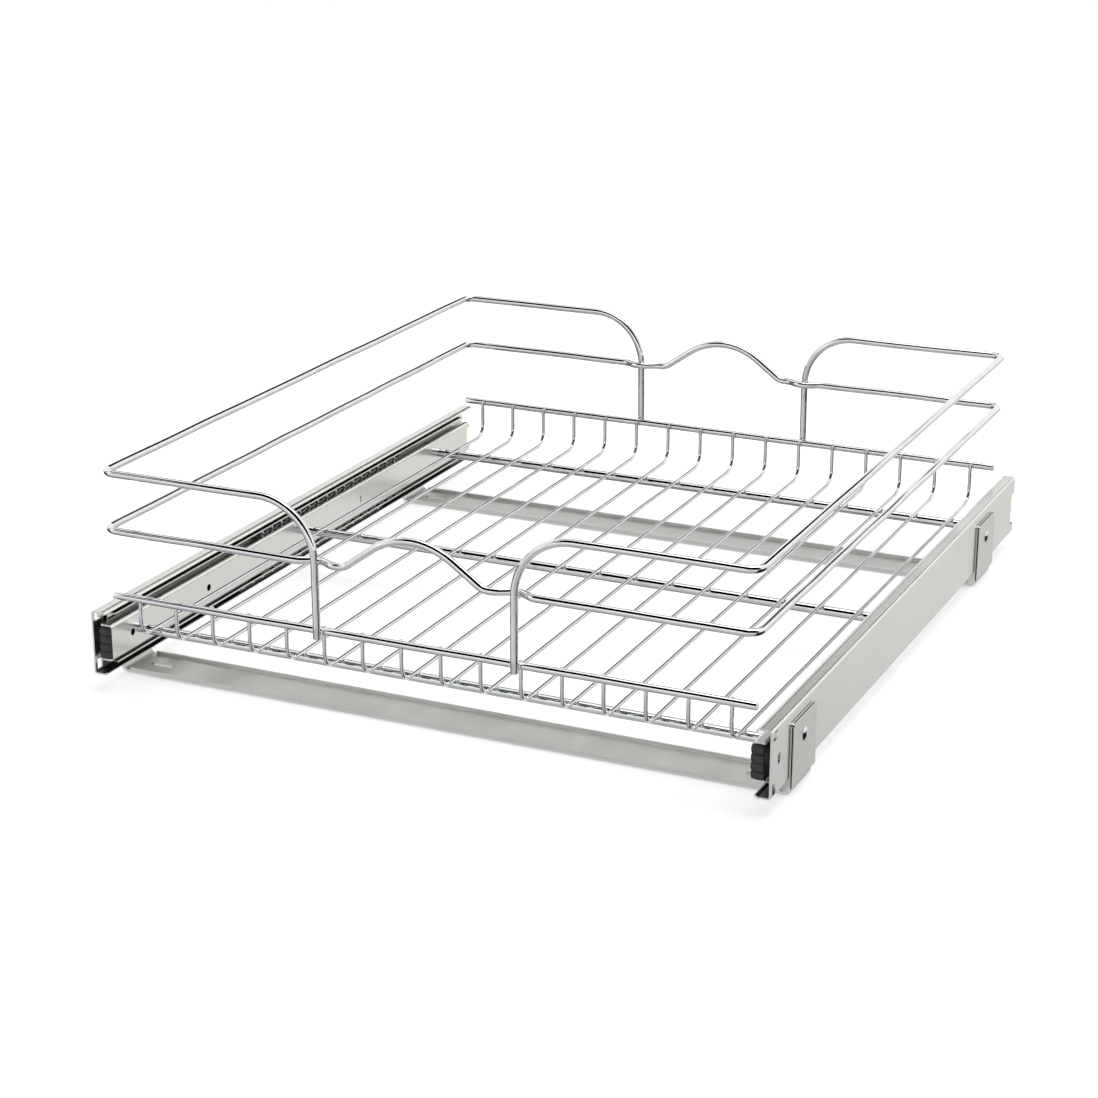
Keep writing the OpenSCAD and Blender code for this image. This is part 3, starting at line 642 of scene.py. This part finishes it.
def paint_race_shade(piece, both_sides):
    """Paints the shade of the channel on the ball races above and below the web: the faces that
    look into the channel, or both sides of the strip, without its cut edges."""
    mesh = piece.data
    mesh.materials.append(RACE_SHADE)
    outer_x = TAB_X - RAIL_T
    for face in mesh.polygons:
        u = outer_x - abs(face.center[0]) - SLIDE_MID_U
        normal_u = -math.copysign(face.normal[0], face.normal[0] * face.center[0])
        inwards = normal_u * u + face.normal[2] * (face.center[2] - SLIDE_MID_Z) < 0
        edge = abs(face.normal[1]) > 0.5 or (normal_u > 0.9 and u > 0)
        race = abs(face.center[2] - SLIDE_MID_Z) > RACE_Z
        if race and (both_sides or inwards) and not edge:
            # these faces take the painted shade of the channel
            face.material_index = 1


for name in ("front_cross_rail", "rear_cross_rail"):
    finished_sheet(name, "base", GALVANISED)
for side in SIDES:
    paint_race_shade(finished_sheet(side + "_outer_member", "base", ZINC), False)
    paint_race_shade(finished_sheet(side + "_intermediate_member", side + "_intermediate",
                                ZINC), True)
    finished_sheet(side + "_inner_member", "basket", ZINC)


def paint(node, material):
    """Gives a solid, which stays as it is, its finish."""
    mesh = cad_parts[node].data
    mesh.materials.clear()
    mesh.materials.append(material)


for side in SIDES:
    for layer in ("outer", "inner"):
        paint(f"{side}_{layer}_ball_retainer", RETAINER)
        paint(f"{side}_{layer}_balls", BALL)
paint("bracket_rivets", HEADED)
paint("rod_screws", HEADED)

# ---------------------------------------------------------------- front buffers

BUFFER_LIP = 2.5 * MM
BUFFER_RIBS = 4
BUFFER_SLOPE = 0.9 * MM
BUFFER_ROWS = 28 * BUFFER_RIBS + 1
PLUG_SIZE = np.array([6.0, 16.9, 20.4]) * MM
PLUG_SHIFT = 0.6 * MM
PLUG_ROWS = 9
RING_POINTS = 36


def stacked_rings(centre_x, back_y, heights, half_widths, depths, slope=0.0):
    """Points of rings stacked along z. Each is a rounded rectangle with its back on the plane
    back_y: x = centre + w sgn(cos t) |cos t|^0.4, y = back - d/2 + d/2 sgn(sin t) |sin t|^0.4,
    where the half width w and the depth d change with the height. The front face slopes back
    by up to slope on one side (towards +X where slope is positive)."""
    t = np.linspace(0, 2 * np.pi, RING_POINTS, endpoint=False)[None, :]
    cos, sin = (np.sign(f(t)) * np.abs(f(t)) ** 0.4 for f in (np.cos, np.sin))
    x = centre_x + half_widths[:, None] * cos
    front = (1 - sin) / 2
    fall = np.clip(np.sign(slope) * cos * 2 - 0.7, 0, 1) * abs(slope)
    y = back_y - (depths[:, None] - fall) * front
    return np.stack([x, y, heights[:, None] + 0 * t], -1).reshape(-1, 3)


def ring_faces(rows, first=0):
    """Faces of a stack of rings, closed by one polygon at the bottom and one at the top."""
    last = (rows - 1) * RING_POINTS
    faces = grid_faces(rows, RING_POINTS).tolist()
    faces.append(list(range(RING_POINTS))[::-1])
    faces.append(list(range(last, last + RING_POINTS)))
    return [[v + first for v in face] for face in faces]


def front_buffer(side, sign):
    """Moulded stop on the front end of an inner member. Its face has four ribs: at the height
    v (-1 to 1) the depth is lip (0.5 + 0.5 (1 - s^2)^(1/2)) (1 - 0.25 v^4), where s runs
    from -1 to 1 over each rib, and the sides draw in with the ribs. A plug behind it fills
    the channel."""
    node = f"{side}_front_buffer"
    low, high = corners(node)
    centre, half = (low + high) / 2, (high - low) / 2
    v = np.linspace(-1, 1, BUFFER_ROWS)
    s = 2 * np.mod((v + 1) / 2 * BUFFER_RIBS, 1) - 1
    ribs = np.sqrt(1 - s ** 2)
    lip = stacked_rings(centre[0], low[1] + BUFFER_LIP, centre[2] + v * half[2],
                        half[0] * (0.90 + 0.10 * ribs) * (1 - 0.10 * v ** 16),
                        BUFFER_LIP * (0.5 + 0.5 * ribs) * (1 - 0.25 * v ** 4),
                        -sign * BUFFER_SLOPE)
    w = np.linspace(-1, 1, PLUG_ROWS)
    eased = 1 - 0.08 * w ** 8
    plug = stacked_rings(centre[0] + sign * PLUG_SHIFT, high[1], centre[2] + w * PLUG_SIZE[2] / 2,
                         PLUG_SIZE[0] / 2 * eased, PLUG_SIZE[1] * eased)
    faces = ring_faces(BUFFER_ROWS) + ring_faces(PLUG_ROWS, len(lip))
    piece = outwards(mesh_object("moulded_" + node, np.concatenate([lip, plug]), faces, PLASTIC))
    fit(piece, node, "basket")


front_buffer("left", -1)
front_buffer("right", 1)

# ---------------------------------------------------------------- floor, light and camera

# Half the floor's width, and the glow that brings it up to white for camera rays
FLOOR_HALF = 30.0
FLOOR_GLOW = 0.44

# Strength of the world above and below the horizon, and what the card adds
SKY_LIGHT = 1.1
GROUND_LIGHT = 1.08
CARD_LIGHT = 0.2


def studio_floor():
    """A pale sweep, larger than the view from any side and exposed to white, with the soft
    shadow left on it. Only the camera sees it: what the object mirrors below the horizon
    comes from the world."""
    mat, tree, shader = new_material("studio_floor", Roughness=0.9, Emission_Color=(1, 1, 1, 1))
    place = add(tree, "TexCoord").outputs["Object"]
    tone = add(tree, "TexNoise", Vector=place, Scale=3.0, Detail=2.0)
    tree.links.new(blend_colours(tree, tone.outputs["Fac"], "#F7F7F6", "#F9F9F8"),
                   shader.inputs["Base Color"])
    seen = add(tree, "LightPath").outputs["Is Camera Ray"]
    tree.links.new(times(tree, seen, FLOOR_GLOW), shader.inputs["Emission Strength"])
    square = [[x * FLOOR_HALF, y * FLOOR_HALF, 0] for x, y in ((-1, -1), (1, -1), (1, 1), (-1, 1))]
    piece = mesh_object("studio_floor", square, [[0, 1, 2, 3]], mat)
    piece.visible_diffuse = False
    piece.visible_glossy = False
    piece.visible_transmission = False
    piece.visible_shadow = False


def light_from_above(tree, x, y, z):
    """1 for the white walls and ceiling, 0 in the two dark gaps, which chrome needs to look
    like chrome. (x, y, z) is the way that the ray goes, and slope is y / z. One gap lies
    across the front, from nearly overhead down to a slope of -2, and to -3.1 on the right.
    The other lies behind on the left, 24 to 38 degrees up."""
    slope = add(tree, "Math", {"operation": "DIVIDE"}, _0=y, _1=z).outputs["Value"]
    rightwards = add(tree, "MapRange", Value=x, From_Min=-0.3, From_Max=0.3, To_Max=1.1)
    lowered = add(tree, "Math", {"operation": "ADD"}, _0=slope, _1=rightwards.outputs["Result"])
    front_gap = times(tree, times(tree, between(tree, lowered.outputs["Value"], -2.0, 9, 0.05),
                                  between(tree, slope, -9, -0.05, 0.05)),
                      between(tree, z, 0.1, 2, 0.03))
    rear_gap = times(tree, times(tree, between(tree, x, -0.55, 0.18, 0.03),
                                 between(tree, z, 0.41, 0.62, 0.04)),
                     between(tree, y, 0, 2, 0.05))
    dark = add(tree, "Math", {"operation": "MAXIMUM"}, _0=front_gap, _1=rear_gap)
    open_sky = add(tree, "Math", {"operation": "SUBTRACT"}, _0=1.0, _1=dark.outputs["Value"])
    return open_sky.outputs["Value"]


def light_from_below(tree, x, y, z):
    """Colour and strength of the pale floor that metal mirrors: greyer ahead on the right and
    steeply down, brighter over a white card to the right of the rear, and black where flags
    stand on the right and far left. x / h and y / h tell the sides apart, where h is the
    ray's horizontal length, (1 - z^2)^(1/2)."""
    flat = add(tree, "Math", {"operation": "SUBTRACT"}, _0=1.0, _1=times(tree, z, z))
    length = add(tree, "Math", {"operation": "SQRT"}, _0=flat.outputs["Value"])
    across, back = (add(tree, "Math", {"operation": "DIVIDE"}, _0=part,
                        _1=length.outputs["Value"]).outputs["Value"] for part in (x, y))
    side = add(tree, "MapRange", Value=across, From_Min=-0.7, From_Max=1.0)
    ahead = times(tree, between(tree, back, -2, -0.35, 0.3), between(tree, z, -2, -0.15, 0.06))
    colour = mixed_colour(tree, ahead, srgb("#D9D9D7"),
                          blend_colours(tree, side.outputs["Result"], "#E2E3E4", "#BEBFC1", 0, 1))
    steep = add(tree, "MapRange", Value=z, From_Min=-0.36, From_Max=-0.42)
    colour = mixed_colour(tree, steep.outputs["Result"], colour, srgb("#BCBDBF"))
    right = times(tree, between(tree, across, 0.74, 2, 0.03), between(tree, back, -0.36, 2, 0.05))
    flags = add(tree, "Math", {"operation": "MAXIMUM"}, _0=right,
                _1=between(tree, across, -2, -0.95, 0.03))
    colour = mixed_colour(tree, flags.outputs["Value"], colour, srgb("#1C1C1D"))
    card = times(tree, between(tree, across, 0.43, 0.64, 0.09), between(tree, back, 0.6, 2, 0.1))
    strength = add(tree, "Math", {"operation": "MULTIPLY_ADD"}, _0=card, _1=CARD_LIGHT,
                   _2=GROUND_LIGHT)
    return colour, strength.outputs["Value"]


def studio_world():
    """The studio's light, and what metal mirrors of it. The camera itself sees plain white."""
    world = bpy.data.worlds.new("studio_world")
    world.use_nodes = True
    tree = world.node_tree
    tree.nodes.clear()
    way = add(tree, "SeparateXYZ", Vector=add(tree, "TexCoord").outputs["Generated"])
    x, y, z = (way.outputs[axis] for axis in "XYZ")
    above = add(tree, "Background", Color=(1, 1, 1, 1),
                Strength=times(tree, light_from_above(tree, x, y, z), SKY_LIGHT))
    colour, strength = light_from_below(tree, x, y, z)
    below = add(tree, "Background", Color=colour, Strength=strength)
    upwards = add(tree, "Math", {"operation": "GREATER_THAN"}, _0=z, _1=0.0)
    studio = add(tree, "MixShader", _0=upwards.outputs["Value"],
                 _1=below.outputs["Background"], _2=above.outputs["Background"])
    backdrop = add(tree, "Background", Color=(1, 1, 1, 1), Strength=1.0)
    seen = add(tree, "LightPath").outputs["Is Camera Ray"]
    mixed = add(tree, "MixShader", _0=seen, _1=studio.outputs["Shader"],
                _2=backdrop.outputs["Background"])
    output = add(tree, "OutputWorld")
    tree.links.new(mixed.outputs["Shader"], output.inputs["Surface"])
    bpy.context.scene.world = world


def softbox(name, place, target, size, power):
    """A square area lamp that faces the target."""
    lamp = bpy.data.lights.new(name, "AREA")
    lamp.shape = "SQUARE"
    lamp.size = size
    lamp.energy = power
    holder = bpy.data.objects.new(name, lamp)
    bpy.context.scene.collection.objects.link(holder)
    holder.location = place
    facing = unit(np.asarray(target, float) - np.asarray(place, float))
    holder.rotation_euler = (math.acos(-facing[2]), 0, math.atan2(-facing[0], facing[1]))


# The camera stands where the photograph's does, worked out from its straight edges
CAMERA_PLACE = (0.6457, -1.4582, 0.6009)
CAMERA_DOWN = math.radians(19.24)
CAMERA_TURN = math.radians(24.83)
CAMERA_FOCAL_PX = 2519.87
FRAME_PX = 1098


def camera():
    """A plain camera whose focal length is given in the photograph's pixels."""
    lens = bpy.data.cameras.new("camera")
    lens.sensor_width = 36
    lens.lens = CAMERA_FOCAL_PX / FRAME_PX * lens.sensor_width
    holder = bpy.data.objects.new("camera", lens)
    holder.location = CAMERA_PLACE
    holder.rotation_euler = (math.pi / 2 - CAMERA_DOWN, 0, CAMERA_TURN)
    bpy.context.scene.collection.objects.link(holder)
    bpy.context.scene.camera = holder


studio_floor()
studio_world()
softbox("top_softbox", (0.2, 0.3, 2.2), (0, 0, 0), 1.6, 14)
softbox("left_softbox", (-1.8, -1.0, 1.2), (0, 0, 0.05), 1.2, 5)
camera()
bpy.context.scene.view_settings.view_transform = "Standard"
